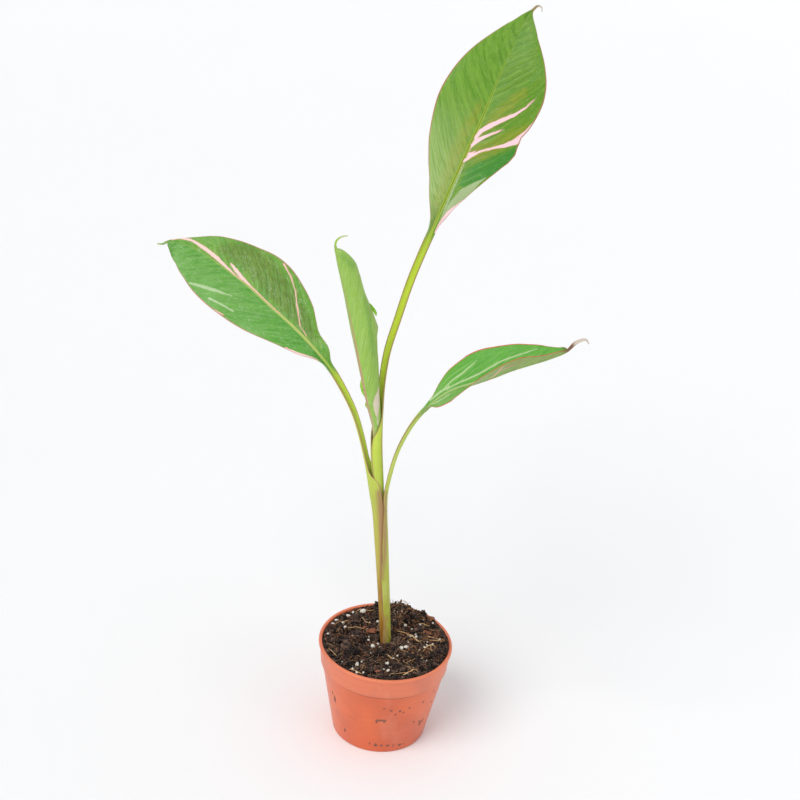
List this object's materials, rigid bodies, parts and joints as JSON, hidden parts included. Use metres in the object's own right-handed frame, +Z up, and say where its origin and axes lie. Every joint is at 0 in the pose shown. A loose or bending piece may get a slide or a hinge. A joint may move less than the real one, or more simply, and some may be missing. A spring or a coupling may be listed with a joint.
{
  "type": "potted banana plant",
  "caption": "Young variegated banana plant: a slim leaning false stem of wrapped leaf sheaths, three open leaves and one still rolled, in a filled terracotta-coloured nursery pot.",
  "frame": {"origin": "centre of the pot's flat underside, on the surface the pot stands on", "axes": "+Z up along the pot's axis, +X to the right and -Y towards the viewer in the pictured view"},
  "size_m": [0.3633, 0.1778, 0.6459],
  "materials": {
    "terracotta_plastic": "satin",
    "potting_soil": "rough",
    "right_leaf_green": "satin",
    "left_leaf_green": "satin",
    "tall_leaf_green": "satin",
    "rolled_leaf_green": "satin"
  },
  "bodies": {
    "root": {"pot": "terracotta_plastic", "soil": "potting_soil", "right_leaf": "right_leaf_green", "left_leaf": "left_leaf_green", "tall_leaf": "tall_leaf_green", "rolled_leaf": "rolled_leaf_green"}
  },
  "joints": []
}
